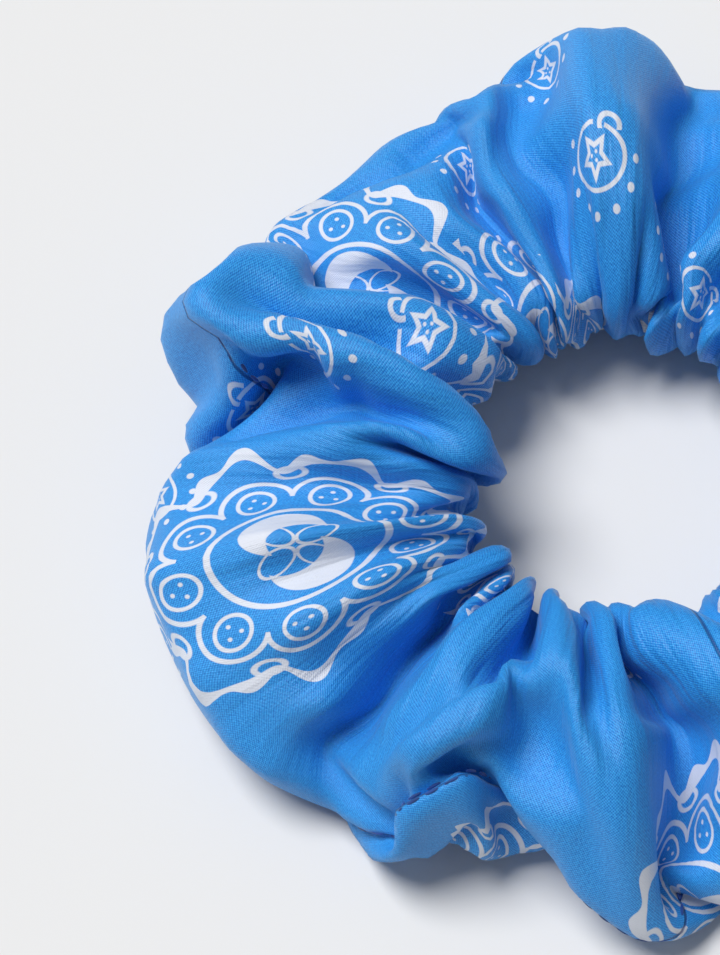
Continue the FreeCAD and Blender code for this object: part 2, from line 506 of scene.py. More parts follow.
class Gathering:
    """Gathers the flat strip to a ring by simulation."""

    def __init__(self, strip: Strip, run: GatheringRun, band: Band) -> None:
        """Keep the strip, the settings of the run and the elastic that the cloth closes on.

        Args:
            strip: Flat strip that is gathered.
            run: Settings of the simulation.
            band: Elastic that the cloth closes on.
        """
        self.strip = strip
        self.run = run
        self.band = band

    def _band(self, angles: np.ndarray, radius: float) -> np.ndarray:
        """Stand the flattened tube on its inner edge as a band round the axis.

        Args:
            angles: Angle of each row, in radians.
            radius: Radius of the band, in millimetres.

        Returns:
            Points in millimetres, rows along the ring by columns round the tube.
        """
        share = np.arange(self.strip.round_it) / self.strip.round_it
        height = np.abs(1 - 2 * share) * self.strip.width / 2
        swell = np.sin(2 * np.pi * share)
        out = radius + self.run.swell * np.sign(swell) * np.sqrt(np.abs(swell))
        x = out[None, :] * np.cos(angles)[:, None]
        y = out[None, :] * np.sin(angles)[:, None]
        return np.stack([x, y, np.broadcast_to(height[None, :], x.shape)], axis=2)

    def _start_angles(self) -> np.ndarray:
        """Spread the rows round the axis about as the folds will lie, without turning back.

        Returns:
            Angle of each row, in radians.
        """
        strip = self.strip
        middle = np.array([fold.points()[1] for fold in FOLDS])
        fold_angles = np.unwrap(np.arctan2(middle[:, 1], middle[:, 0]))
        share = np.arange(strip.along) / strip.along
        first = fold_angles[0]
        raw = np.interp(share, np.append(strip.fold_share, 1.0),
                        np.append(fold_angles, first + 2 * np.pi))
        drift = raw - (first + 2 * np.pi * share)
        reach = int(strip.along * self.run.spread_share)
        kernel = np.hanning(2 * reach + 1)
        kernel /= kernel.sum()
        padded = np.concatenate([drift[-reach:], drift, drift[:reach]])
        return first + 2 * np.pi * share + np.convolve(padded, kernel, "valid")

    def _targets(self, start: np.ndarray) -> tuple[np.ndarray, np.ndarray]:
        """Place the held points of every fold, the seam and the hair hole.

        Args:
            start: Start shape in millimetres.

        Returns:
            The shape to pull towards, and how firmly each point is held, from 0 to 1.
        """
        strip, run = self.strip, self.run
        target = start.copy()
        hold = np.zeros(start.shape[:2])
        for index, fold in enumerate(FOLDS):
            row = int(round(strip.fold_share[index] * strip.along)) % strip.along
            points = fold.points()
            for number, (point, share) in enumerate(zip(points, strip.fold_rows[index])):
                column = int(round(share * strip.round_it)) % strip.round_it
                target[row, column] = point
                firm = run.fold_hold * (run.first_hold if number == 0 else 1.0)
                hold[row, column] = run.seam_hold if number == len(points) - 1 else firm
            for depth, degrees, radius, height in fold.under:
                column = int(round(depth / strip.width * strip.round_it))
                target[row, column] = at_bearing(degrees, radius, height)
                hold[row, column] = run.under_hold
        self._wrap_elastic(target, hold)
        return target, hold

    def _wrap_elastic(self, target: np.ndarray, hold: np.ndarray) -> None:
        """Lead the inside of every gather round the elastic.

        Args:
            target: Shape to pull towards, in millimetres.
            hold: How firmly each point is held.
        """
        strip, band, pins = self.strip, self.band, self.run.pins
        starts = [fold.stations[0] for fold in FOLDS]
        rows = np.append(strip.fold_share * strip.along, strip.along)
        bearings = np.unwrap([math.radians(degrees) for degrees, _, _ in starts])
        bearings = np.append(bearings, bearings[0] + 2 * np.pi)
        radii = np.minimum([radius + pins.ease for _, radius, _ in starts], band.radius - pins.inside)
        radii = np.append(radii, radii[0])
        middle = strip.round_it // 2
        lower, upper = middle - pins.columns, middle + pins.columns
        under = (band.radius + pins.below[0], band.middle - band.width / 2 - pins.below[1])
        over = (band.radius - pins.above[0], band.middle + band.width / 2 + pins.above[1])
        for index in range(len(FOLDS)):
            row_step, turn, change = (np.diff(v)[index] for v in (rows, bearings, radii))
            parts = max(1, int(round(row_step / pins.rows_apart)))
            for part in range(parts):
                share = part / parts
                row = int(round(rows[index] + share * row_step)) % strip.along
                degrees = math.degrees(bearings[index] + share * turn)
                radius = radii[index] + share * change - (pins.stagger if part % 2 else 0.0)
                target[row, middle] = at_bearing(degrees, radius, band.middle)
                target[row, lower] = at_bearing(degrees, *under)
                hold[row, [lower, middle]] = self.run.hole_hold
                if part:
                    target[row, upper] = at_bearing(degrees, *over)
                    hold[row, upper] = pins.above_hold

    def _elastic(self, radius: float) -> bpy.types.Object:
        """Make the elastic, which closes from the radius of the cut tube to its own size.

        Args:
            radius: Radius at which it starts, in millimetres.

        Returns:
            The elastic that the cloth touches.
        """
        band, size, steps = self.band, self.run.scale * MM, self.run.elastic_steps
        opened = band.ring(radius, self.run.start_height, steps) * size
        elastic = new_piece("closing_elastic", opened, tube_faces(steps, 4))
        elastic.shape_key_add(name="open")
        closed = elastic.shape_key_add(name="closed")
        closed.data.foreach_set("co", (band.ring(band.radius, band.middle, steps) * size).ravel())
        self._slide(elastic, closed)
        self._touch(elastic, self.run.elastic)
        return elastic

    def _touch(self, piece: bpy.types.Object, contact: Contact) -> None:
        """Let the cloth touch a piece.

        Args:
            piece: Piece that the cloth meets.
            contact: How it meets it.
        """
        piece.modifiers.new("contact", "COLLISION")
        piece.collision.thickness_outer = contact.gap
        piece.collision.cloth_friction = contact.friction

    def _slide(self, piece: bpy.types.Object, key: bpy.types.ShapeKey) -> None:
        """Move a piece evenly to one of its shapes while the folds are pulled in.

        Args:
            piece: Piece that moves.
            key: Shape that it moves to.
        """
        key.value = 0.0
        key.keyframe_insert("value", frame=1)
        key.value = 1.0
        key.keyframe_insert("value", frame=int(self.run.frames * self.run.pull_share))
        for curve in piece.data.shape_keys.animation_data.action.fcurves:
            for point in curve.keyframe_points:
                point.interpolation = "LINEAR"

    def _floor(self) -> bpy.types.Object:
        """Make the surface that the cloth comes to rest on.

        Returns:
            The surface.
        """
        bpy.ops.mesh.primitive_plane_add(size=6, location=(0, 0, 0))
        floor = bpy.context.object
        self._touch(floor, self.run.floor)
        return floor

    def gather(self) -> np.ndarray:
        """Run the simulation.

        Returns:
            Points of the gathered tube in metres, rows along the ring by columns round the tube.
        """
        strip, run = self.strip, self.run
        angles = self._start_angles()
        even = angles[0] + 2 * np.pi * np.arange(strip.along) / strip.along
        radius = strip.length / (2 * np.pi)
        start_radius = radius * run.start_size
        start = self._band(angles, start_radius)
        flat = self._band(even, radius)
        target, hold = self._targets(start)
        size = run.scale * MM
        work = new_piece("gathering", start * size, tube_faces(strip.along, strip.round_it))
        work.shape_key_add(name="start")
        pulled = work.shape_key_add(name="pulled")
        pulled.data.foreach_set("co", (target * size).ravel())
        cut = work.shape_key_add(name="cut")
        cut.data.foreach_set("co", (flat * size).ravel())
        self._slide(work, pulled)
        group = work.vertex_groups.new(name="held")
        holds = hold.ravel()
        for index in np.nonzero(holds)[0]:
            group.add([int(index)], float(holds[index]), "REPLACE")
        floor = self._floor()
        elastic = self._elastic(start_radius)
        self._set_cloth(work, cut)
        scene = bpy.context.scene
        scene.frame_start, scene.frame_end = 1, run.frames
        for frame in range(1, run.frames + 1):
            scene.frame_set(frame)
        settled = work.evaluated_get(bpy.context.evaluated_depsgraph_get()).data
        points = np.empty(len(settled.vertices) * 3)
        settled.vertices.foreach_get("co", points)
        for spent in (work, floor, elastic):
            bpy.data.objects.remove(spent)
        scene.frame_set(1)
        return points.reshape(strip.along, strip.round_it, 3) / run.scale

    def _set_cloth(self, work: bpy.types.Object, cut: bpy.types.ShapeKey) -> None:
        """Give the working tube its cloth settings.

        Args:
            work: Tube that is gathered.
            cut: Shape that holds the cloth's cut size.
        """
        run = self.run
        modifier = work.modifiers.new("cloth", "CLOTH")
        cloth = modifier.settings
        cloth.quality = run.quality
        cloth.mass = run.mass
        cloth.tension_stiffness = cloth.compression_stiffness = run.stretch
        cloth.shear_stiffness = run.shear
        cloth.bending_stiffness = run.bend
        cloth.tension_damping = cloth.compression_damping = cloth.shear_damping = run.damping
        cloth.bending_damping = run.bend_damping
        cloth.air_damping = run.air_damping
        cloth.vertex_group_mass = "held"
        cloth.pin_stiffness = run.hold_stiffness
        cloth.rest_shape_key = cut
        cloth.use_pressure = True
        cloth.uniform_pressure_force = run.pressure
        cloth.effector_weights.gravity = run.weight
        contact = modifier.collision_settings
        contact.use_self_collision = True
        contact.self_distance_min = run.itself.gap
        contact.self_friction = run.itself.friction
        contact.distance_min = run.reach
        contact.collision_quality = run.contact_quality
        modifier.point_cache.frame_start = 1
        modifier.point_cache.frame_end = run.frames


# ---------------------------------------------------------------------------------------------
# Print
# ---------------------------------------------------------------------------------------------

@dataclass(frozen=True)
class Motif:
    """One printed figure on the flat cloth.

    Attributes:
        along: Place along the strip, in millimetres from the first fold.
        across: Place across the strip, in millimetres from the outer seam, top panel negative.
        turn: Turn of the figure on the cloth, in degrees.
        reach: Largest distance at which it is drawn, in millimetres.
        before: Place along the strip where it is cut off, in millimetres.
    """

    along: float
    across: float
    turn: float = 0.0
    reach: float = 8.5
    before: float = FAR_OFF


STARS: tuple[Motif, ...] = (
    Motif(24, -31), Motif(32, -9, 20), Motif(6, -36, -15), Motif(63, -21, 25), Motif(111, -33, -20),
    Motif(124, -15, 10), Motif(131, 3, 60), Motif(159, -5, -30), Motif(302, -39, 10),
    Motif(498, -44, 30), Motif(488, -18), Motif(465, -34, 40), Motif(372, -40, -25),
    Motif(334, -12, 15), Motif(385, -9, 30), Motif(440, -12, -20), Motif(500, 12, 40),
    Motif(470, 22), Motif(440, 44, 70), Motif(372, 18, 20), Motif(340, 24, -40), Motif(300, 44, 10),
    Motif(240, 18, 30), Motif(215, 20, 10), Motif(185, 40, -10), Motif(146, 28, 20),
    Motif(112, 14, 5), Motif(70, 20, 30), Motif(20, 24, -30),
)
MEDALLIONS: tuple[Motif, ...] = (
    Motif(175, -26, 10, 27), Motif(98, -26, 0, 27, 104.0), Motif(66, -51, 40, 20, 75.0),
    Motif(310, 2, 25, 27), Motif(268, 27, 10, 25), Motif(352, -30, 0, 24), Motif(415, -30, 50, 27),
    Motif(408, 28, 20, 24), Motif(222, 48, 0, 22), Motif(45, 40, 0, 24), Motif(178, 12, 30, 17),
    Motif(110, 42, 30, 22),
)


def motif_map(cloth_mm: np.ndarray, motifs: Iterable[Motif], length: float, width: float) -> np.ndarray:
    """Give each face corner its place in the nearest figure.

    Args:
        cloth_mm: Face by corner by (along, across), in millimetres on the flat cloth.
        motifs: Figures of one kind.
        length: Length of the strip, after which the cloth meets itself.
        width: Width of the strip, after which the cloth meets itself.

    Returns:
        Face by corner by (x, y) in millimetres from the figure's centre, far off where none is near.
    """
    middle = cloth_mm.mean(axis=1)
    best = np.full(len(cloth_mm), np.inf)
    placed = np.full(cloth_mm.shape, FAR_OFF)
    for motif in motifs:
        shift = np.array([motif.along, motif.across % width])
        for lap in (-length, 0.0, length):
            for wrap in (-width, 0.0, width):
                centre = shift + (lap, wrap)
                distance = np.linalg.norm(middle - centre, axis=1)
                near = (distance < best) & (distance < motif.reach) & (middle[:, 0] < motif.before)
                best[near] = distance[near]
                a = math.radians(motif.turn)
                local = cloth_mm[near] - centre
                x = local[..., 0] * math.cos(a) + local[..., 1] * math.sin(a)
                y = -local[..., 0] * math.sin(a) + local[..., 1] * math.cos(a)
                placed[near] = np.stack([x, y], axis=-1)
    return placed


class Outline:
    """Draws white outlines of printed figures from a place on the cloth, with shader nodes."""

    def __init__(self, tree: bpy.types.NodeTree, place: bpy.types.NodeSocket) -> None:
        """Keep the tree and split the place into its polar parts.

        Args:
            tree: Node tree of the print.
            place: Place in the figure, in millimetres.
        """
        self.tree = tree
        self.place = place
        self.x = add_node(tree, "SeparateXYZ", {0: place}, out=0)
        self.y = add_node(tree, "SeparateXYZ", {0: place}, out=1)
        self.radius = add_node(tree, "VectorMath", {0: place}, out="Value", operation="LENGTH")
        self.angle = add_node(tree, "Math", {0: self.y, 1: self.x}, operation="ARCTAN2")

    def within(self, distance: Any, half_width: float, blur: float = 0.07) -> bpy.types.NodeSocket:
        """Fill where a distance is less than a half width.

        Args:
            distance: Distance in millimetres.
            half_width: Half of the line's width, in millimetres.
            blur: Soft edge of the printed line, in millimetres.

        Returns:
            1 inside the line and 0 outside it.
        """
        size = add_node(self.tree, "Math", {0: distance}, operation="ABSOLUTE")
        settings = {"Value": size, "From Min": half_width + blur, "From Max": half_width - blur,
                    "To Min": 0.0, "To Max": 1.0}
        return add_node(self.tree, "MapRange", settings, clamp=True)

    def stroke(self, distance: Any, radius: float, half_width: float,
               blur: float = 0.07) -> bpy.types.NodeSocket:
        """Draw a line where a distance has one value.

        Args:
            distance: Distance in millimetres.
            radius: Its value on the middle of the line.
            half_width: Half of the line's width, in millimetres.
            blur: Soft edge of the printed line, in millimetres.

        Returns:
            1 inside the line and 0 outside it.
        """
        off = add_node(self.tree, "Math", {0: distance, 1: radius}, operation="SUBTRACT")
        return self.within(off, half_width, blur)

    def filled(self, distance: Any, grow: float) -> bpy.types.NodeSocket:
        """Fill where a distance is less than nothing, and a little beyond.

        Args:
            distance: Distance in millimetres, negative inside.
            grow: How far beyond it is filled, in millimetres.

        Returns:
            1 where it is filled and 0 elsewhere.
        """
        past = add_node(self.tree, "Math", {0: distance, 1: 0.0}, operation="MAXIMUM")
        return self.within(past, grow)

    def join(self, *masks: Any) -> bpy.types.NodeSocket:
        """Unite several fills.

        Args:
            *masks: Fills.

        Returns:
            1 where any of them is.
        """
        whole = masks[0]
        for mask in masks[1:]:
            whole = add_node(self.tree, "Math", {0: whole, 1: mask}, operation="MAXIMUM")
        return whole

    def only(self, mask: Any, value: Any, least: float) -> bpy.types.NodeSocket:
        """Keep a fill only where a value is over a limit.

        Args:
            mask: The fill.
            value: Value that is tested.
            least: The limit.

        Returns:
            What is kept of the fill.
        """
        over = add_node(self.tree, "Math", {0: value, 1: least}, operation="GREATER_THAN")
        return add_node(self.tree, "Math", {0: mask, 1: over}, operation="MULTIPLY")

    def spot(self, x: float, y: float, across: float = 1.0) -> bpy.types.NodeSocket:
        """Give the distance from a point, with Y squeezed by a factor.

        Args:
            x: Place of the point, in millimetres.
            y: Place of the point, in millimetres.
            across: The factor.

        Returns:
            Distance in millimetres.
        """
        moved = add_node(self.tree, "VectorMath", {0: self.place, 1: (x, y, 0)}, operation="SUBTRACT")
        scaled = add_node(self.tree, "VectorMath", {0: moved, 1: (1, across, 0)}, operation="MULTIPLY")
        return add_node(self.tree, "VectorMath", {0: scaled}, out="Value", operation="LENGTH")

    def along(self, bearing: Any) -> tuple[bpy.types.NodeSocket, bpy.types.NodeSocket]:
        """Give the place's distances outwards and sideways, seen from a bearing in radians.

        Args:
            bearing: Angle of the place from the direction that counts as outwards, in radians.

        Returns:
            Distance outwards and distance sideways, in millimetres.
        """
        cosine = add_node(self.tree, "Math", {0: bearing}, operation="COSINE")
        sine = add_node(self.tree, "Math", {0: bearing}, operation="SINE")
        return (add_node(self.tree, "Math", {0: self.radius, 1: cosine}, operation="MULTIPLY"),
                add_node(self.tree, "Math", {0: self.radius, 1: sine}, operation="MULTIPLY"))

    def repeated(self, count: int, radius: float, phase: float = 0.0) -> "Outline":
        """Repeat a place round the centre.

        Args:
            count: How many times.
            radius: Distance of the repeated centres, in millimetres.
            phase: Turn of the first one, in radians.

        Returns:
            Outline about the nearest repeated centre, with X pointing outwards.
        """
        tree, step = self.tree, math.pi / count
        turned = add_node(tree, "Math", {0: self.angle, 1: phase}, operation="ADD")
        bearing = add_node(tree, "Math", {0: turned, 1: step, 2: -step}, operation="WRAP")
        out, side = self.along(bearing)
        out = add_node(tree, "Math", {0: out, 1: radius}, operation="SUBTRACT")
        return Outline(tree, add_node(tree, "CombineXYZ", {0: out, 1: side}))


@dataclass(frozen=True)
class StarDrop:
    """Small figure: a five-pointed star in a curled drop, with dots round it. Millimetres.

    Attributes:
        drop_radius: Half width of the drop.
        drop_squeeze: Width of the drop over its height.
        line: Half width of the drop's line.
        mouth: Place and radius of the gap in the drop's line.
        hook: Place and radius of the curl that ends the line.
        hook_from: Height from which the curl is drawn.
        star_tip: Distance of the star's tips.
        star_notch: Distance of its notches.
        star_line: Width of its line over the drop's line.
        star_turn: Turn of the star, in radians.
        pips: Number, distance and radius of the pips in the star.
        dots: How many dots the ring would have if it closed.
        dot_ring: Distance of the dots.
        dot_radius: Radius of a dot.
        dot_slope: Slope of the line above which no dot is drawn.
        dot_top: Height of that line.
    """

    drop_radius: float = 4.3
    drop_squeeze: float = 1.28
    line: float = 0.31
    mouth: tuple[float, float, float] = (-0.9, 3.3, 0.8)
    hook: tuple[float, float, float] = (-2.3, 3.1, 1.3)
    hook_from: float = 2.7
    star_tip: float = 2.1
    star_notch: float = 1.05
    star_line: float = 0.85
    star_turn: float = 0.3
    pips: tuple[int, float, float] = (3, 0.5, 0.2)
    dots: int = 12
    dot_ring: float = 6.0
    dot_radius: float = 0.52
    dot_slope: float = 0.25
    dot_top: float = 2.6

    def draw(self, tree: bpy.types.NodeTree, place: bpy.types.NodeSocket) -> bpy.types.NodeSocket:
        """Draw the figure.

        Args:
            tree: Node tree of the print.
            place: Place in the figure, in millimetres.

        Returns:
            1 where the cloth is printed white.
        """
        pen = Outline(tree, place)
        mouth_x, mouth_y, mouth_radius = self.mouth
        mouth = pen.within(pen.spot(mouth_x, mouth_y), mouth_radius)
        closed = add_node(tree, "Math", {0: 1.0, 1: mouth}, operation="SUBTRACT")
        drop = pen.stroke(pen.spot(0, 0, self.drop_squeeze), self.drop_radius, self.line)
        drop = add_node(tree, "Math", {0: drop, 1: closed}, operation="MULTIPLY")
        hook_x, hook_y, hook_radius = self.hook
        hook = pen.stroke(pen.spot(hook_x, hook_y), hook_radius, self.line)
        hook = pen.only(hook, pen.y, self.hook_from)
        pip_count, pip_ring, pip_radius = self.pips
        pips = pen.within(pen.repeated(pip_count, pip_ring).radius, pip_radius)
        return pen.join(drop, hook, self._star(pen), pips, self._dots(pen))

    def _star(self, pen: Outline) -> bpy.types.NodeSocket:
        """Draw the outline of the star.

        Args:
            pen: Outline on the figure.

        Returns:
            1 where the cloth is printed white.
        """
        tree, wedge = pen.tree, math.pi / 5
        turned = add_node(tree, "Math", {0: pen.angle, 1: self.star_turn}, operation="ADD")
        bearing = add_node(tree, "Math", {0: turned, 1: wedge, 2: -wedge}, operation="WRAP")
        bearing = add_node(tree, "Math", {0: bearing}, operation="ABSOLUTE")
        out, side = pen.along(bearing)
        notch_x, notch_y = self.star_notch * math.cos(wedge), self.star_notch * math.sin(wedge)
        edge = math.hypot(self.star_tip - notch_x, notch_y)
        normal = (notch_y / edge, (self.star_tip - notch_x) / edge, 0.0)
        beyond = add_node(tree, "Math", {0: out, 1: self.star_tip}, operation="SUBTRACT")
        from_tip = add_node(tree, "CombineXYZ", {0: beyond, 1: side})
        off = add_node(tree, "VectorMath", {0: from_tip, 1: normal}, out="Value",
                       operation="DOT_PRODUCT")
        return pen.within(off, self.line * self.star_line)

    def _dots(self, pen: Outline) -> bpy.types.NodeSocket:
        """Draw the dots that lie round the drop, below a sloping line.

        Args:
            pen: Outline on the figure.

        Returns:
            1 where the cloth is printed white.
        """
        tree = pen.tree
        dots = pen.within(pen.repeated(self.dots, self.dot_ring).radius, self.dot_radius)
        rise = add_node(tree, "Math", {0: pen.x, 1: -self.dot_slope, 2: pen.y}, operation="MULTIPLY_ADD")
        below = add_node(tree, "Math", {0: rise, 1: self.dot_top}, operation="LESS_THAN")
        return add_node(tree, "Math", {0: dots, 1: below}, operation="MULTIPLY")


@dataclass(frozen=True)
class Medallion:
    """Large figure: crescents in a ring, a wreath of eyes and a jagged leafy border. Millimetres.

    Attributes:
        line: Half width of a plain line.
        fine_line: Half width of a fine line.
        eyes: Number of eyes in the wreath.
        eye_ring: Distance of the eyes.
        lid: Squeeze and radius of an eye's lid.
        pips: Number, distance and radius of the pips in an eye.
        scallop: Inward shift, squeeze and radius of the arch over an eye.
        scallop_line: Width of the arch's line over a plain line.
        scallop_cut: How far inside the eyes' distance the arches end.
        ring: Radius and half width of the ring inside the wreath.
        crescents: Number, distance and first turn of the crescents.
        crescent_radii: Outer and inner radius of a crescent.
        crescent_shift: Place of the inner circle from the outer one.
        crescent_grow: How far the crescents' fill spreads.
        loops: Number, distance and first turn of the tendril loops.
        loop_oval: Squeeze and radius of a loop.
        loop_end: Distance at which the loops end.
        border: Distance of the border.
        border_waves: Height of its wide and its narrow waves.
        border_width: Half width of the border and how much the narrow waves vary it.
        border_grow: How far the border's fill spreads.
        petal_ring: Distance of the petals between the arches.
        petal: Squeeze and radius of a petal.
        petal_line: Half width of a petal's line.
    """

    line: float = 0.3
    fine_line: float = 0.24
    eyes: int = 10
    eye_ring: float = 14.2
    lid: tuple[float, float] = (1.15, 2.6)
    pips: tuple[int, float, float] = (3, 1.05, 0.3)
    scallop: tuple[float, float, float] = (-0.2, 0.98, 4.35)
    scallop_line: float = 1.15
    scallop_cut: float = 0.4
    ring: tuple[float, float] = (9.9, 0.42)
    crescents: tuple[int, float, float] = (2, 3.9, 0.5)
    crescent_radii: tuple[float, float] = (4.6, 4.2)
    crescent_shift: tuple[float, float] = (-3.6, 1.2)
    crescent_grow: float = 0.25
    loops: tuple[int, float, float] = (4, 3.2, 0.9)
    loop_oval: tuple[float, float] = (1.7, 2.6)
    loop_end: float = 8.6
    border: float = 22.0
    border_waves: tuple[float, float] = (1.7, 0.8)
    border_width: tuple[float, float] = (0.75, 0.4)
    border_grow: float = 0.08
    petal_ring: float = 19.4
    petal: tuple[float, float] = (0.62, 1.15)
    petal_line: float = 0.26

    def draw(self, tree: bpy.types.NodeTree, place: bpy.types.NodeSocket) -> bpy.types.NodeSocket:
        """Draw the figure.

        Args:
            tree: Node tree of the print.
            place: Place in the figure, in millimetres.

        Returns:
            1 where the cloth is printed white.
        """
        pen = Outline(tree, place)
        return pen.join(self._wreath(pen), self._centre(pen), self._border(pen))

    def _wreath(self, pen: Outline) -> bpy.types.NodeSocket:
        """Draw the eyes and the arches over them.

        Args:
            pen: Outline on the figure.

        Returns:
            1 where the cloth is printed white.
        """
        eye = pen.repeated(self.eyes, self.eye_ring)
        squeeze, radius = self.lid
        lid = pen.stroke(eye.spot(0, 0, squeeze), radius, self.line)
        count, distance, pip_radius = self.pips
        pips = pen.within(eye.repeated(count, distance).radius, pip_radius)
        shift, squeeze, radius = self.scallop
        arch = pen.stroke(eye.spot(shift, 0, squeeze), radius, self.line * self.scallop_line)
        arch = pen.only(arch, pen.radius, self.eye_ring - self.scallop_cut)
        return pen.join(lid, pips, arch)

    def _centre(self, pen: Outline) -> bpy.types.NodeSocket:
        """Draw the ring with the crescents and the tendril loops inside it.

        Args:
            pen: Outline on the figure.

        Returns:
            1 where the cloth is printed white.
        """
        tree = pen.tree
        ring = pen.stroke(pen.radius, *self.ring)
        lune = pen.repeated(*self.crescents)
        outer, inner = self.crescent_radii
        hollow = lune.spot(*self.crescent_shift)
        past_outer = add_node(tree, "Math", {0: lune.radius, 1: outer}, operation="SUBTRACT")
        in_hollow = add_node(tree, "Math", {0: inner, 1: hollow}, operation="SUBTRACT")
        crescent = add_node(tree, "Math", {0: past_outer, 1: in_hollow}, operation="MAXIMUM")
        crescent = pen.filled(crescent, self.crescent_grow)
        tendril = pen.repeated(*self.loops)
        squeeze, radius = self.loop_oval
        loops = pen.stroke(tendril.spot(0, 0, squeeze), radius, self.fine_line)
        near = add_node(tree, "Math", {0: pen.radius, 1: self.loop_end}, operation="LESS_THAN")
        loops = add_node(tree, "Math", {0: loops, 1: near}, operation="MULTIPLY")
        return pen.join(ring, crescent, loops)

    def _border(self, pen: Outline) -> bpy.types.NodeSocket:
        """Draw the jagged border and the petals inside it.

        Args:
            pen: Outline on the figure.

        Returns:
            1 where the cloth is printed white.
        """
        tree, count = pen.tree, float(self.eyes)
        wide_height, narrow_height = self.border_waves
        half_width, change = self.border_width
        wide = add_node(tree, "Math", {0: pen.angle, 1: count}, operation="MULTIPLY")
        wide = add_node(tree, "Math", {0: wide}, operation="COSINE")
        narrow = add_node(tree, "Math", {0: pen.angle, 1: 2 * count}, operation="MULTIPLY")
        narrow = add_node(tree, "Math", {0: narrow}, operation="SINE")
        edge = add_node(tree, "Math", {0: wide, 1: wide_height, 2: self.border},
                        operation="MULTIPLY_ADD")
        edge = add_node(tree, "Math", {0: narrow, 1: narrow_height, 2: edge}, operation="MULTIPLY_ADD")
        thick = add_node(tree, "Math", {0: narrow, 1: change, 2: half_width}, operation="MULTIPLY_ADD")
        off = add_node(tree, "Math", {0: pen.radius, 1: edge}, operation="SUBTRACT")
        off = add_node(tree, "Math", {0: off}, operation="ABSOLUTE")
        off = add_node(tree, "Math", {0: off, 1: thick}, operation="SUBTRACT")
        jagged = pen.filled(off, self.border_grow)
        petal = pen.repeated(self.eyes, self.petal_ring, math.pi / self.eyes)
        squeeze, radius = self.petal
        petals = pen.stroke(petal.spot(0, 0, squeeze), radius, self.petal_line)
        return pen.join(jagged, petals)


# ---------------------------------------------------------------------------------------------
# Finishes
# ---------------------------------------------------------------------------------------------

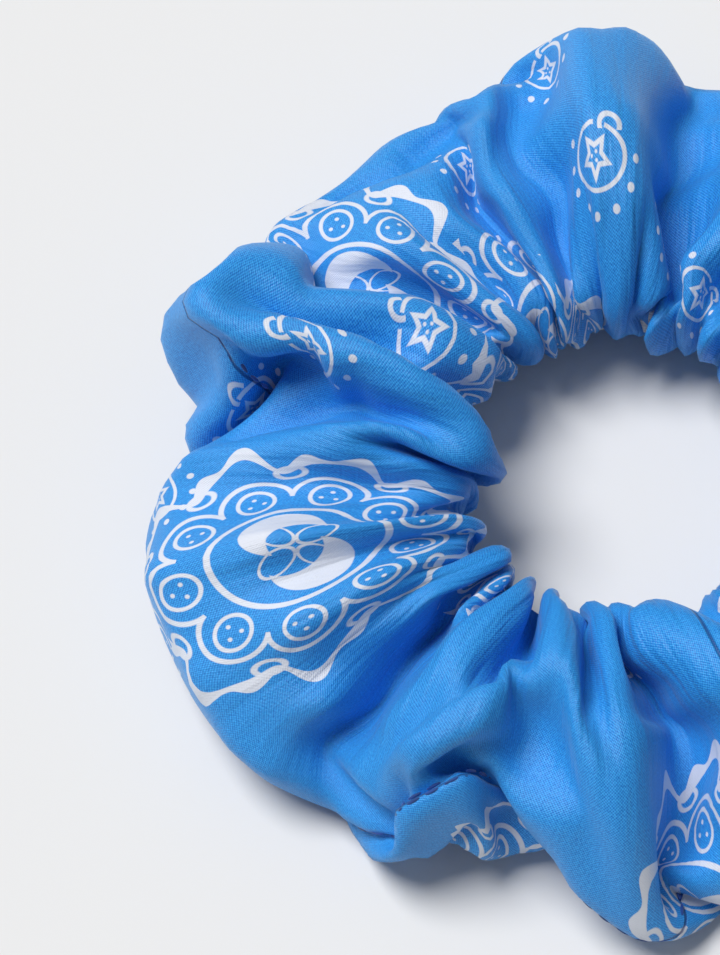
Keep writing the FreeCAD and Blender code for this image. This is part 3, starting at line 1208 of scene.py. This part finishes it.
@dataclass(frozen=True)
class PrintedSatin:
    """Polyester satin woven in blue and printed with off-white figures.

    The satin face has long floats, so it shows fine slanted ribs, a soft wide gloss and a sheen. The
    ribs' colour holds painted highlight and painted shade.

    Attributes:
        blue: Colour of the floats where they face the light, a painted highlight.
        float_shade_blue: Colour between them.
        white: Colour of the print.
        seam_shade: Colour of the shadow in a seam.
        sheen_blue: Tint of the sheen.
        float_pitch: Distance between the ribs of floats, in millimetres, drawn coarser than
            satin is woven so that it shows.
        float_slant: Slant of the floats, as a slope.
        yarn_scale: Patches of heavier yarn per millimetre.
        slub_scale: Slubs per millimetre.
        float_shading_share: How much the floats vary the tone.
        slub_share: How much the slubs vary it.
        tone_span: Tones that are drawn as the painted shade and as the painted highlight blue.
        cover: How far the print hides the ground.
        seam_line: Half width of a seam's groove, in millimetres.
        seam_blur: Soft edge of that groove, in millimetres.
        seam_dark: How strongly the painted shadow darkens a seam's groove.
        crinkle_scale: Crinkles per millimetre along the strip and across it.
        crinkle_span: Distances from the outer seam between which the crinkles grow, in millimetres.
        crinkle_share: Strength of the crinkles at those two distances.
        crinkle_height: Height of the crinkles, in millimetres.
        weave_height: Height of the floats, in millimetres.
        seam_depth: Depth of a seam's groove, in millimetres.
        bump: Strength of all this relief.
        roughness: Roughness of the satin face.
        specular: Specular level of the polyester.
        sheen: Weight of the sheen.
        sheen_roughness: Roughness of the sheen.
    """

    blue: str = "40B2FA"
    float_shade_blue: str = "046CCA"
    white: str = "E4E7F0"
    seam_shade: str = "062F78"
    sheen_blue: str = "A8D4FF"
    float_pitch: float = 0.38
    float_slant: float = 0.22
    yarn_scale: float = 3.4
    slub_scale: float = 2.2
    float_shading_share: float = 0.42
    slub_share: float = 0.3
    tone_span: tuple[float, float] = (-0.3, 0.62)
    cover: float = 0.94
    seam_line: float = 0.2
    seam_blur: float = 0.1
    seam_dark: float = 0.75
    crinkle_scale: tuple[float, float] = (0.42, 0.06)
    crinkle_span: tuple[float, float] = (6.0, 44.0)
    crinkle_share: tuple[float, float] = (0.25, 1.1)
    crinkle_height: float = 1.1
    weave_height: float = 0.03
    seam_depth: float = 0.3
    bump: float = 0.7
    roughness: float = 0.46
    specular: float = 0.45
    sheen: float = 0.25
    sheen_roughness: float = 0.4

    def make(self, closing_at: float) -> bpy.types.Material:
        """Make the material.

        Args:
            closing_at: Place of the closing seam along the strip, in millimetres.

        Returns:
            The finished material.
        """
        material = bpy.data.materials.new("printed_satin")
        material.use_nodes = True
        tree = material.node_tree
        shader = tree.nodes["Principled BSDF"]
        cloth = add_node(tree, "UVMap", uv_map="cloth")
        pen = Outline(tree, cloth)
        weave = self._weave(pen)
        seam = pen.join(pen.within(pen.y, self.seam_line, self.seam_blur),
                        pen.stroke(pen.x, closing_at, self.seam_line, self.seam_blur))
        tree.links.new(self._colour(pen, weave, seam), shader.inputs["Base Color"])
        tree.links.new(self._relief(pen, weave, seam), shader.inputs["Normal"])
        shader.inputs["Roughness"].default_value = self.roughness
        shader.inputs["Specular IOR Level"].default_value = self.specular
        shader.inputs["Sheen Weight"].default_value = self.sheen
        shader.inputs["Sheen Roughness"].default_value = self.sheen_roughness
        shader.inputs["Sheen Tint"].default_value = linear(self.sheen_blue)
        return material

    def _weave(self, pen: Outline) -> bpy.types.NodeSocket:
        """Draw the slanted floats, with some yarns heavier than others.

        Args:
            pen: Outline on the flat cloth.

        Returns:
            Height of the weave, about -2 to 2.
        """
        tree, step = pen.tree, 2 * math.pi / self.float_pitch
        across = add_node(tree, "Math", {0: pen.x, 1: step}, operation="MULTIPLY")
        across = add_node(tree, "Math", {0: across}, operation="SINE")
        slant = add_node(tree, "Math", {0: pen.x, 1: self.float_slant, 2: pen.y},
                         operation="MULTIPLY_ADD")
        slant = add_node(tree, "Math", {0: slant, 1: step}, operation="MULTIPLY")
        slant = add_node(tree, "Math", {0: slant}, operation="SINE")
        floats = add_node(tree, "Math", {0: across, 1: slant}, operation="MULTIPLY")
        yarn = {"Vector": pen.place, "Scale": self.yarn_scale, "Detail": 1.0}
        yarn = add_node(tree, "TexNoise", yarn, noise_dimensions="2D")
        yarn = add_node(tree, "Math", {0: yarn, 1: 0.5}, operation="SUBTRACT")
        return add_node(tree, "Math", {0: yarn, 1: 2.0, 2: floats}, operation="MULTIPLY_ADD")

    def _colour(self, pen: Outline, weave: bpy.types.NodeSocket,
                seam: bpy.types.NodeSocket) -> bpy.types.NodeSocket:
        """Colour the woven ground with painted highlight and painted shade on its floats, the print, and
        painted shadow in the seams.

        Args:
            pen: Outline on the flat cloth.
            weave: Height of the weave.
            seam: 1 in a seam's groove.

        Returns:
            The colour.
        """
        tree = pen.tree
        slub = {"Vector": pen.place, "Scale": self.slub_scale, "Detail": 4.0}
        slub = add_node(tree, "TexNoise", slub, noise_dimensions="2D")
        slub = add_node(tree, "Math", {0: slub, 1: self.slub_share}, operation="MULTIPLY")
        # Floats lift the tone as painted highlight on their tops and lower it as painted shade between
        # them; heavier yarns and slubs give real unevenness.
        tone = add_node(tree, "Math", {0: weave, 1: self.float_shading_share, 2: slub},
                        operation="MULTIPLY_ADD")
        low, high = self.tone_span
        tone = add_node(tree, "MapRange", {"Value": tone, "From Min": low, "From Max": high}, clamp=True)
        # Ground colour runs from painted shade between the floats to painted highlight on their tops.
        ground = {"Factor": tone, "A": linear(self.float_shade_blue), "B": linear(self.blue)}
        ground = add_node(tree, "Mix", ground, out="Result", data_type="RGBA")
        white = pen.join(StarDrop().draw(tree, add_node(tree, "UVMap", uv_map="star_print")),
                         Medallion().draw(tree, add_node(tree, "UVMap", uv_map="medallion_print")))
        white = add_node(tree, "Math", {0: white, 1: self.cover}, operation="MULTIPLY")
        printed = {"Factor": white, "A": ground, "B": linear(self.white)}
        printed = add_node(tree, "Mix", printed, out="Result", data_type="RGBA")
        # Painted shadow in the seam grooves.
        shade = add_node(tree, "Math", {0: seam, 1: self.seam_dark}, operation="MULTIPLY")
        sewn = {"Factor": shade, "A": printed, "B": linear(self.seam_shade)}
        return add_node(tree, "Mix", sewn, out="Result", data_type="RGBA")

    def _relief(self, pen: Outline, weave: bpy.types.NodeSocket,
                seam: bpy.types.NodeSocket) -> bpy.types.NodeSocket:
        """Raise the weave, sink the seams and crinkle the cloth, more so near the hair hole.

        Args:
            pen: Outline on the flat cloth.
            weave: Height of the weave.
            seam: 1 in a seam's groove.

        Returns:
            The surface normal.
        """
        tree = pen.tree
        stretched = add_node(tree, "VectorMath", {0: pen.place, 1: (*self.crinkle_scale, 1.0)},
                             operation="MULTIPLY")
        crinkle = add_node(tree, "TexNoise", {"Vector": stretched, "Scale": 1.0, "Detail": 2.5},
                           noise_dimensions="2D")
        (near, far), (least, most) = self.crinkle_span, self.crinkle_share
        from_seam = add_node(tree, "Math", {0: pen.y}, operation="ABSOLUTE")
        inward = add_node(tree, "MapRange", {"Value": from_seam, "From Min": near, "From Max": far,
                                             "To Min": least, "To Max": most}, clamp=True)
        crinkle = add_node(tree, "Math", {0: crinkle, 1: inward}, operation="MULTIPLY")
        groove = add_node(tree, "Math", {0: seam, 1: -self.seam_depth}, operation="MULTIPLY")
        height = add_node(tree, "Math", {0: weave, 1: self.weave_height, 2: groove},
                          operation="MULTIPLY_ADD")
        height = add_node(tree, "Math", {0: crinkle, 1: self.crinkle_height, 2: height},
                          operation="MULTIPLY_ADD")
        return add_node(tree, "Bump", {"Strength": self.bump, "Distance": MM, "Height": height})


@dataclass(frozen=True)
class SewingThread:
    """Spun polyester sewing thread: matt, with the slanted twist of its plies.

    Attributes:
        name: Name of the material.
        colour: Colour of the plies.
        twist_scale: Scale of the bands that stand for the twist. At 100 they are 3.6 mm apart,
            coarser than the real twist, which is too fine to show.
        groove_shade: Brightness of the painted shade between the plies over that on them.
        wander: How unevenly the plies are laid.
        twist_depth: Depth of the twist, in millimetres.
        bump: Strength of that depth.
        roughness: Roughness of the spun fibres.
        sheen: Weight of their fuzz.
    """

    name: str
    colour: str
    twist_scale: float = 100.0
    groove_shade: float = 0.6
    wander: float = 1.5
    twist_depth: float = 0.1
    bump: float = 0.4
    roughness: float = 0.7
    sheen: float = 0.3

    def make(self) -> bpy.types.Material:
        """Make the material.

        Returns:
            The finished material.
        """
        material = bpy.data.materials.new(self.name)
        material.use_nodes = True
        tree = material.node_tree
        shader = tree.nodes["Principled BSDF"]
        place = add_node(tree, "TexCoord", out="Object")
        twist = {"Vector": place, "Scale": self.twist_scale, "Distortion": self.wander}
        ply = add_node(tree, "TexWave", twist, out="Fac", bands_direction="DIAGONAL")
        # Painted shade: the thread is darker in the grooves between its plies.
        dark = tuple(self.groove_shade * c for c in linear(self.colour)[:3]) + (1.0,)
        groove_shaded_colour = add_node(tree, "Mix", {"Factor": ply, "A": dark, "B": linear(self.colour)}, out="Result",
                        data_type="RGBA")
        bump = add_node(tree, "Bump", {"Strength": self.bump, "Distance": self.twist_depth * MM,
                                       "Height": ply})
        tree.links.new(groove_shaded_colour, shader.inputs["Base Color"])
        tree.links.new(bump, shader.inputs["Normal"])
        shader.inputs["Roughness"].default_value = self.roughness
        shader.inputs["Sheen Weight"].default_value = self.sheen
        return material


@dataclass(frozen=True)
class BraidedElastic:
    """White braided elastic: rubber cores in a polyester braid, so it has ribs along its length.

    Attributes:
        colour: Colour of the ribs.
        groove_shade_colour: Colour between them.
        rib_pitch: Distance between the ribs, in millimetres.
        slant_share: Height of the slanted braid over that of the ribs.
        rib_height: Height of the ribs, in millimetres.
        bump: Strength of that height.
        roughness: Roughness of the braid.
    """

    colour: str = "E4E3DE"
    groove_shade_colour: str = "C9C8C2"
    rib_pitch: float = 0.9
    slant_share: float = 0.3
    rib_height: float = 0.2
    bump: float = 0.6
    roughness: float = 0.75

    def make(self) -> bpy.types.Material:
        """Make the material.

        Returns:
            The finished material.
        """
        material = bpy.data.materials.new("braided_elastic")
        material.use_nodes = True
        tree = material.node_tree
        shader = tree.nodes["Principled BSDF"]
        place = add_node(tree, "UVMap", uv_map="braid")
        pen = Outline(tree, place)
        rib = add_node(tree, "Math", {0: pen.y, 1: math.pi / self.rib_pitch}, operation="MULTIPLY")
        rib = add_node(tree, "Math", {0: rib}, operation="SINE")
        rib = add_node(tree, "Math", {0: rib}, operation="ABSOLUTE")
        zigzag = add_node(tree, "Math", {0: pen.y, 1: self.rib_pitch}, operation="PINGPONG")
        zigzag = add_node(tree, "Math", {0: pen.x, 1: zigzag}, operation="ADD")
        slant = add_node(tree, "Math", {0: zigzag, 1: 2 * math.pi / self.rib_pitch},
                         operation="MULTIPLY")
        slant = add_node(tree, "Math", {0: slant}, operation="SINE")
        height = add_node(tree, "Math", {0: slant, 1: self.slant_share, 2: rib},
                          operation="MULTIPLY_ADD")
        # Painted shade: the braid is darker in the grooves between its ribs and along the slant of its
        # braid.
        groove_shaded_colour = {"Factor": height, "A": linear(self.groove_shade_colour), "B": linear(self.colour)}
        groove_shaded_colour = add_node(tree, "Mix", groove_shaded_colour, out="Result", data_type="RGBA")
        bump = add_node(tree, "Bump", {"Strength": self.bump, "Distance": self.rib_height * MM,
                                       "Height": height})
        tree.links.new(groove_shaded_colour, shader.inputs["Base Color"])
        tree.links.new(bump, shader.inputs["Normal"])
        shader.inputs["Roughness"].default_value = self.roughness
        return material


def dress(piece: bpy.types.Object, material: bpy.types.Material) -> None:
    """Give a piece its finish.

    Args:
        piece: Piece that is finished.
        material: Its finish.
    """
    piece.data.materials.clear()
    piece.data.materials.append(material)


def share_stretch(piece: bpy.types.Object) -> None:
    """Bake the placement of a piece that goes all round the ring into its mesh.

    Args:
        piece: Piece that is shared between the halves.
    """
    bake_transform(piece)


# ---------------------------------------------------------------------------------------------
# Sub-assemblies
# ---------------------------------------------------------------------------------------------

@dataclass
class Cover:
    """Cloth tube of printed satin, gathered on the elastic.

    Attributes:
        strip: Flat strip that it is cut from.
        run: Simulation that gathers it.
        band: Elastic that it is gathered on.
        wall: Thickness of the satin, in metres.
        grid: Points of the gathered cloth, rows along the ring by columns round the tube.
        piece: The finished cover.
    """

    strip: Strip = field(default_factory=Strip)
    run: GatheringRun = field(default_factory=GatheringRun)
    band: Band = field(default_factory=Band)
    wall: float = 0.00025
    grid: Optional[np.ndarray] = field(init=False, default=None)
    piece: Optional[bpy.types.Object] = field(init=False, default=None)

    def build(self) -> bpy.types.Object:
        """Gather the cloth and give it its print maps and its thickness.

        Returns:
            The cover.
        """
        self.grid = Gathering(self.strip, self.run, self.band).gather()
        rows, columns = self.grid.shape[:2]
        piece = new_piece("cover", self.grid, tube_faces(rows, columns))
        self._map_cloth(piece)
        smooth = piece.modifiers.new("smooth", "SUBSURF")
        smooth.levels = smooth.render_levels = 1
        smooth.uv_smooth = "NONE"
        apply_modifiers(piece)
        self._take_grid(piece)
        thick = piece.modifiers.new("cloth_thickness", "SOLIDIFY")
        thick.thickness = self.wall
        thick.offset = -1.0
        apply_modifiers(piece)
        piece.data.polygons.foreach_set("use_smooth", [True] * len(piece.data.polygons))
        self.piece = piece
        return piece

    def _map_cloth(self, piece: bpy.types.Object) -> None:
        """Lay out the flat cloth and the figures printed on it as UV maps, in millimetres.

        Args:
            piece: Cover that takes the maps.
        """
        rows, columns = self.grid.shape[:2]
        length, width = self.strip.length, self.strip.width
        i, j = np.meshgrid(np.arange(rows), np.arange(columns), indexing="ij")
        corners = np.stack([np.stack([i, j], -1), np.stack([i + 1, j], -1),
                            np.stack([i + 1, j + 1], -1), np.stack([i, j + 1], -1)], axis=2)
        cloth = corners.reshape(-1, 4, 2) * np.array([length / rows, width / columns])
        centred = cloth.copy()
        beyond = centred[:, :, 1].mean(axis=1) > width / 2
        centred[beyond, :, 1] -= width
        layers = {"cloth": centred, "star_print": motif_map(cloth, STARS, length, width),
                  "medallion_print": motif_map(cloth, MEDALLIONS, length, width)}
        for name, values in layers.items():
            layer = piece.data.uv_layers.new(name=name)
            layer.data.foreach_set("uv", values.reshape(-1))

    def _take_grid(self, piece: bpy.types.Object) -> None:
        """Read the smoothed surface back as the coarse grid's own points, for what is sewn to it.

        Args:
            piece: Smoothed cover.
        """
        count = self.grid.shape[0] * self.grid.shape[1]
        points = np.empty(len(piece.data.vertices) * 3)
        piece.data.vertices.foreach_get("co", points)
        self.grid = points.reshape(-1, 3)[:count].reshape(self.grid.shape)

    def line_at(self, column: float, inset: float = 0.0) -> np.ndarray:
        """Give the line that runs along the ring at a column, moved into the tube.

        Args:
            column: Column of the grid, which may lie between two.
            inset: Distance from the cloth towards the tube's middle, in metres.

        Returns:
            Closed line, one point per row.
        """
        low = int(math.floor(column))
        part = column - low
        columns = self.grid.shape[1]
        line = (1 - part) * self.grid[:, low % columns] + part * self.grid[:, (low + 1) % columns]
        inward = self.grid.mean(axis=1) - line
        inward /= np.linalg.norm(inward, axis=1)[:, None]
        return curved(line) + inset * curved(inward)

    def loop_at(self, along: float, inset: float) -> np.ndarray:
        """Give the line round the tube at a place along it, moved into the tube.

        Args:
            along: Place along the strip, in millimetres.
            inset: Distance from the cloth towards the tube's middle, in metres.

        Returns:
            Closed line, one point per column.
        """
        row = along / self.strip.length * self.grid.shape[0]
        low = int(math.floor(row))
        part = row - low
        rows = self.grid.shape[0]
        line = (1 - part) * self.grid[low % rows] + part * self.grid[(low + 1) % rows]
        inward = line.mean(axis=0) - line
        inward /= np.linalg.norm(inward, axis=1)[:, None]
        return curved(line) + inset * curved(inward)

    def dress(self, material: bpy.types.Material, elastic: bpy.types.Object) -> None:
        """Give the cloth its finish and hide the frame's cover pieces.

        Args:
            material: Printed satin.
            elastic: Elastic that the cloth is gathered on. Not used.
        """
        dress(self.piece, material)
        share_stretch(self.piece)
        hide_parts("cover_left", "cover_right")


@dataclass(frozen=True)
class Stitching:
    """Row of lockstitches. Metres.

    Attributes:
        pitch: Distance from one stitch to the next.
        length: Part of each pitch that shows as thread.
        radius: Half of the thread's thickness.
        sides: Faces round a stitch.
        rings: Faces along it.
    """

    pitch: float = 0.0026
    length: float = 0.0019
    radius: float = 0.00022
    sides: int = 8
    rings: int = 6

    def _model(self) -> tuple[np.ndarray, list[tuple[int, ...]]]:
        """Model one stitch along X about the origin and give its points and faces.

        Returns:
            Points, one row each, and the point indices of each face.
        """
        bpy.ops.object.select_all(action="DESELECT")
        bpy.ops.mesh.primitive_uv_sphere_add(segments=self.sides, ring_count=self.rings, radius=1.0)
        made = bpy.context.object
        bpy.ops.transform.resize(value=(self.radius, self.radius, self.length / 2))
        bpy.ops.transform.rotate(value=math.pi / 2, orient_axis="Y", center_override=(0, 0, 0))
        bpy.ops.object.transform_apply(location=True, rotation=True, scale=True)
        points = np.array([v.co[:] for v in made.data.vertices])
        faces = [tuple(f.vertices) for f in made.data.polygons]
        bpy.data.objects.remove(made)
        return points, faces

    def sew(self, name: str, line: np.ndarray, closed: bool = True) -> bpy.types.Object:
        """Sew a row of stitches along a line.

        Args:
            name: Name of the piece.
            line: Points of the line in metres.
            closed: True if the line meets itself.

        Returns:
            All the stitches as one piece.
        """
        route = np.vstack([line, line[:1]]) if closed else line
        reach = np.concatenate([[0.0], np.cumsum(np.linalg.norm(np.diff(route, axis=0), axis=1))])
        count = int(reach[-1] / self.pitch)
        shape, shape_faces = self._model()
        points, faces = [], []
        for k in range(count):
            middle = (k + 0.5) * reach[-1] / count
            first, last = (np.array([np.interp(middle + side * self.length / 2, reach, route[:, axis])
                                     for axis in range(3)]) for side in (-1, 1))
            along = Vector(last - first).normalized()
            turn = np.array(Vector((1, 0, 0)).rotation_difference(along).to_matrix())
            faces += [tuple(index + len(points) * len(shape) for index in face) for face in shape_faces]
            points.append(shape @ turn.T + (first + last) / 2)
        return new_piece(name, np.vstack(points), faces)


@dataclass
class Seams:
    """Threads of the outer seam and of the closing seam.

    Attributes:
        cover: Cover that is sewn.
        closing_along: Place of the closing seam along the strip, in millimetres.
        stitching: Kind of stitches.
        outer_insets: Depth of the outer seam's needle and bobbin thread in the tube, in metres.
        closing_insets: The same for the closing seam.
    """

    cover: Cover
    closing_along: float
    stitching: Stitching = field(default_factory=Stitching)
    outer_insets: tuple[float, float] = (-0.00016, 0.0011)
    closing_insets: tuple[float, float] = (0.0002, 0.001)

    def build(self, material: bpy.types.Material) -> None:
        """Sew both seams, finish their threads and hide the frame's thread pieces.

        Args:
            material: Finish of the thread.
        """
        for kind, inset in zip(("needle", "bobbin"), self.outer_insets):
            line = self.cover.line_at(SEAM_COLUMN, inset)
            piece = self.stitching.sew(f"outer_seam_{kind}_thread", line)
            dress(piece, material)
            share_stretch(piece)
            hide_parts(f"outer_seam_{kind}_thread_left", f"outer_seam_{kind}_thread_right")
        for kind, inset in zip(("needle", "bobbin"), self.closing_insets):
            line = self.cover.loop_at(self.closing_along, inset)
            piece = self.stitching.sew(f"closing_seam_{kind}", line)
            dress(piece, material)
            share_stretch(piece)
            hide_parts(f"closing_seam_{kind}_thread")
        LOG.info("sewed the outer seam and the closing seam")


@dataclass
class Elastic:
    """Loop of flat braided elastic inside the gathers, with its lap and the thread that tacks it.

    Attributes:
        band: Size and place of the loop.
        sag: How far it lies below the place that the gathers were drawn to, in millimetres.
        slack: How far it stands off from the gathers' inner edge, in millimetres.
        lap_angle: Bearing of the lap, in degrees.
        lap_length: Length of the lap, in millimetres.
        steps: Points along the loop.
        corner: Rounding of the band's edges, in metres.
        tack_corners: Corners of the zigzag that holds the lap.
        tack_margin: Distance from that zigzag to the band's edges, in millimetres.
        tack_stand: How far the zigzag stands out of the band, in millimetres.
        tacking: Kind of its stitches.
    """

    band: Band
    sag: float = 1.1
    slack: float = 0.4
    lap_angle: float = -48.0
    lap_length: float = 12.0
    steps: int = 240
    corner: float = 0.0003
    tack_corners: int = 9
    tack_margin: float = 0.8
    tack_stand: float = 0.05
    tacking: Stitching = Stitching(pitch=0.0021, length=0.0019)

    def build(self, material: bpy.types.Material, thread: bpy.types.Material) -> bpy.types.Object:
        """Make the loop, and the thread that tacks its lap.

        Args:
            material: Finish of the elastic.
            thread: Finish of the tack.

        Returns:
            The elastic.
        """
        band = self.band
        points = band.ring(band.radius + self.slack, band.middle - self.sag, self.steps)
        piece = new_piece("elastic", points * MM, tube_faces(self.steps, 4))
        layer = piece.data.uv_layers.new(name="braid")
        step = 2 * math.pi * band.radius / self.steps
        edge = (0.0, band.thickness, band.thickness + band.width, 2 * band.thickness + band.width)
        corners = [loop.vertex_index for loop in piece.data.loops]
        values = [(corner // 4 * step, edge[corner % 4]) for corner in corners]
        layer.data.foreach_set("uv", np.array(values).ravel())
        soft = piece.modifiers.new("rounded", "BEVEL")
        soft.width = self.corner
        soft.segments = 2
        apply_modifiers(piece)
        dress(piece, material)
        share_stretch(piece)
        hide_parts("elastic_left", "elastic_right")
        self._tack(thread)
        LOG.info("made the elastic and its tack")
        return piece

    def _tack(self, thread: bpy.types.Material) -> None:
        """Sew the zigzag that holds the lap.

        Args:
            thread: Finish of the thread.
        """
        band = self.band
        half = math.degrees(self.lap_length / 2 / band.radius)
        bearings = np.linspace(self.lap_angle - half, self.lap_angle + half, self.tack_corners)
        reach = band.width / 2 - self.tack_margin
        rises = np.where(np.arange(self.tack_corners) % 2, 1.0, -1.0) * reach
        radius = band.radius + self.slack - band.thickness / 2 - self.tack_stand
        line = np.array([at_bearing(degrees, radius, band.middle - self.sag + rise)
                         for degrees, rise in zip(bearings, rises)]) * MM
        tack = self.tacking.sew("elastic_tack_thread_stitches", line, closed=False)
        dress(tack, thread)
        share_stretch(tack)
        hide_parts("elastic_tack_thread")


# ---------------------------------------------------------------------------------------------
# Studio
# ---------------------------------------------------------------------------------------------

@dataclass(frozen=True)
class Studio:
    """Pale floor, soft light from the far left, and a camera that looks steeply down.

    Attributes:
        aim: Point that the camera looks at.
        elevation: Angle of its look below the horizon, in degrees.
        distance: Distance from it to that point.
        focal_length: Focal length of its lens, in millimetres.
        near_clip: Nearest distance that it sees.
        floor_size: Side of the floor.
        floor_colour: Colour of the floor.
        floor_roughness: Roughness of the floor.
        floor_specular: Specular level of the floor.
        key_strength: Strength of the main light.
        key_width: Angle that it seems wide, in degrees.
        key_direction: Direction that its light travels in.
        sky_strength: Strength of the even light from all round.
    """

    aim: tuple[float, float, float] = (-0.031, -0.0016, 0.014)
    elevation: float = 65.0
    distance: float = 0.47
    focal_length: float = 147.6
    near_clip: float = 0.01
    floor_size: float = 6.0
    floor_colour: str = "E8E8E8"
    floor_roughness: float = 0.9
    floor_specular: float = 0.1
    key_strength: float = 2.98
    key_width: float = 30.0
    key_direction: tuple[float, float, float] = (0.42, -0.2, -1.0)
    sky_strength: float = 0.19

    def build(self) -> None:
        """Set the floor, the lights and the camera."""
        self._floor()
        self._lights()
        self._camera()
        bpy.context.scene.view_settings.view_transform = "Standard"
        LOG.info("set the floor, the lights and the camera")

    def _floor(self) -> None:
        """Lay matt white paper on the floor."""
        bpy.ops.object.select_all(action="DESELECT")
        bpy.ops.mesh.primitive_plane_add(size=self.floor_size, location=(0, 0, 0))
        floor = bpy.context.object
        floor.name = "floor"
        material = bpy.data.materials.new("matt_paper")
        material.use_nodes = True
        paint = material.node_tree.nodes["Principled BSDF"]
        paint.inputs["Base Color"].default_value = linear(self.floor_colour)
        paint.inputs["Roughness"].default_value = self.floor_roughness
        paint.inputs["Specular IOR Level"].default_value = self.floor_specular
        floor.data.materials.append(material)

    def _lights(self) -> None:
        """Set the even light from all round and the soft main light."""
        scene = bpy.context.scene
        world = bpy.data.worlds.new("studio")
        world.use_nodes = True
        sky = world.node_tree.nodes["Background"]
        sky.inputs["Color"].default_value = (1.0, 1.0, 1.0, 1.0)
        sky.inputs["Strength"].default_value = self.sky_strength
        scene.world = world
        key = bpy.data.lights.new("key", "SUN")
        key.energy = self.key_strength
        key.angle = math.radians(self.key_width)
        lamp = bpy.data.objects.new("key", key)
        lamp.rotation_euler = Vector(self.key_direction).to_track_quat("-Z", "Y").to_euler()
        scene.collection.objects.link(lamp)

    def _camera(self) -> None:
        """Set the camera in front of the ring, looking steeply down."""
        scene = bpy.context.scene
        lens = bpy.data.cameras.new("camera")
        lens.lens = self.focal_length
        lens.clip_start = self.near_clip
        camera = bpy.data.objects.new("camera", lens)
        tilt = math.radians(self.elevation)
        towards = Vector((0.0, -math.cos(tilt), math.sin(tilt)))
        camera.location = Vector(self.aim) + towards * self.distance
        camera.rotation_euler = (-towards).to_track_quat("-Z", "Y").to_euler()
        scene.collection.objects.link(camera)
        scene.camera = camera


def main() -> None:
    """Build the studio and the scrunchie."""
    logging.basicConfig(level=logging.INFO, format="%(name)s: %(message)s")
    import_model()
    Studio().build()
    cover = Cover()
    strip = cover.strip
    closing_at = 0.5 * (strip.share_of("front_right_curl") + strip.share_of("front_right_lobe"))
    closing_at *= strip.length
    cover.build()
    LOG.info("gathered the cover from %.0f x %.0f mm", strip.length, strip.width)
    white_thread = SewingThread("white_thread", "E8E8E4").make()
    elastic = Elastic(cover.band).build(BraidedElastic().make(), white_thread)
    cover.dress(PrintedSatin().make(closing_at), elastic)
    Seams(cover, closing_at).build(SewingThread("blue_thread", "0F4696").make())


if __name__ == "__main__":
    main()
